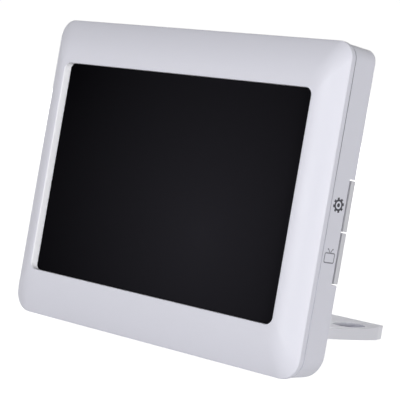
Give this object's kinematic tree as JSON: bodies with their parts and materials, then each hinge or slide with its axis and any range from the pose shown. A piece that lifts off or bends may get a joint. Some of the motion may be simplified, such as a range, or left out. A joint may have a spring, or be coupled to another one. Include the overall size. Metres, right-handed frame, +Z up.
{
  "type": "digital photo frame",
  "caption": "Tabletop display in a white moulded case with a pillow-shaped bezel, which leans back on a fold-out leg and has sprung keys at its rear edge.",
  "frame": {"origin": "on the floor, under the middle of the object's overall size", "axes": "+X to the viewer's right, +Y back towards the leg, +Z up; the screen faces -Y and leans back"},
  "size_m": [0.1924, 0.107, 0.1579],
  "materials": {
    "case_plastic": "white moulded plastic, satin gloss",
    "key_plastic": "white moulded plastic, satin",
    "leg_plastic": "white moulded plastic, satin",
    "rubber": "matt grey rubber",
    "window_black": "polished near-black acrylic",
    "foam": "black foam tape",
    "display_glass": "polished display glass",
    "light_guide_plastic": "clear acrylic over white film",
    "pressed_steel": "plated pressed steel",
    "screw_steel": "zinc-plated steel",
    "board_green": "solder-masked circuit board",
    "part_black": "black moulded plastic",
    "ribbon_amber": "flexible amber film",
    "plunger_white": "white moulded plastic",
    "cone_fabric": "pressed black paper"
  },
  "bodies": {
    "case": {"board_parts": "part_black", "board_screws": "screw_steel", "case_feet": "rubber", "case_screws": "screw_steel", "display_ribbon": "ribbon_amber", "display_window": "window_black", "front_bezel": "case_plastic", "hinge_washers": "screw_steel", "key_board": "board_green", "key_board_screws": "screw_steel", "key_ribbon": "ribbon_amber", "lcd_backplate": "pressed_steel", "lcd_glass": "display_glass", "lcd_screws": "screw_steel", "light_guide": "light_guide_plastic", "lower_switch": "part_black", "main_board": "board_green", "power_jack": "part_black", "processor_shield": "pressed_steel", "rear_cover": "case_plastic", "speaker_cone": "cone_fabric", "speaker_frame": "part_black", "upper_switch": "part_black", "usb_socket": "pressed_steel", "window_gasket": "foam"},
    "leg": {"stand_leg": "leg_plastic", "leg_pad": "rubber", "hinge_pins": "screw_steel"},
    "upper_key": {"upper_key": "key_plastic", "upper_plunger": "plunger_white"},
    "lower_key": {"lower_key": "key_plastic", "lower_plunger": "plunger_white"}
  },
  "joints": [
    {"name": "leg_fold", "type": "hinge", "parent": "case", "child": "leg", "pos_m": [0, -0.03057, 0.02205], "axis": [1, 0, 0], "range_deg": [0, 88.7]},
    {"name": "upper_key_press", "type": "slide", "parent": "case", "child": "upper_key", "axis": [0, -0.9723, 0.2338], "range_m": [0, 0.0006], "stiffness_N_per_m": 600, "springref_m": -0.0012},
    {"name": "lower_key_press", "type": "slide", "parent": "case", "child": "lower_key", "axis": [0, -0.9723, 0.2338], "range_m": [0, 0.0006], "stiffness_N_per_m": 600, "springref_m": -0.0012}
  ]
}
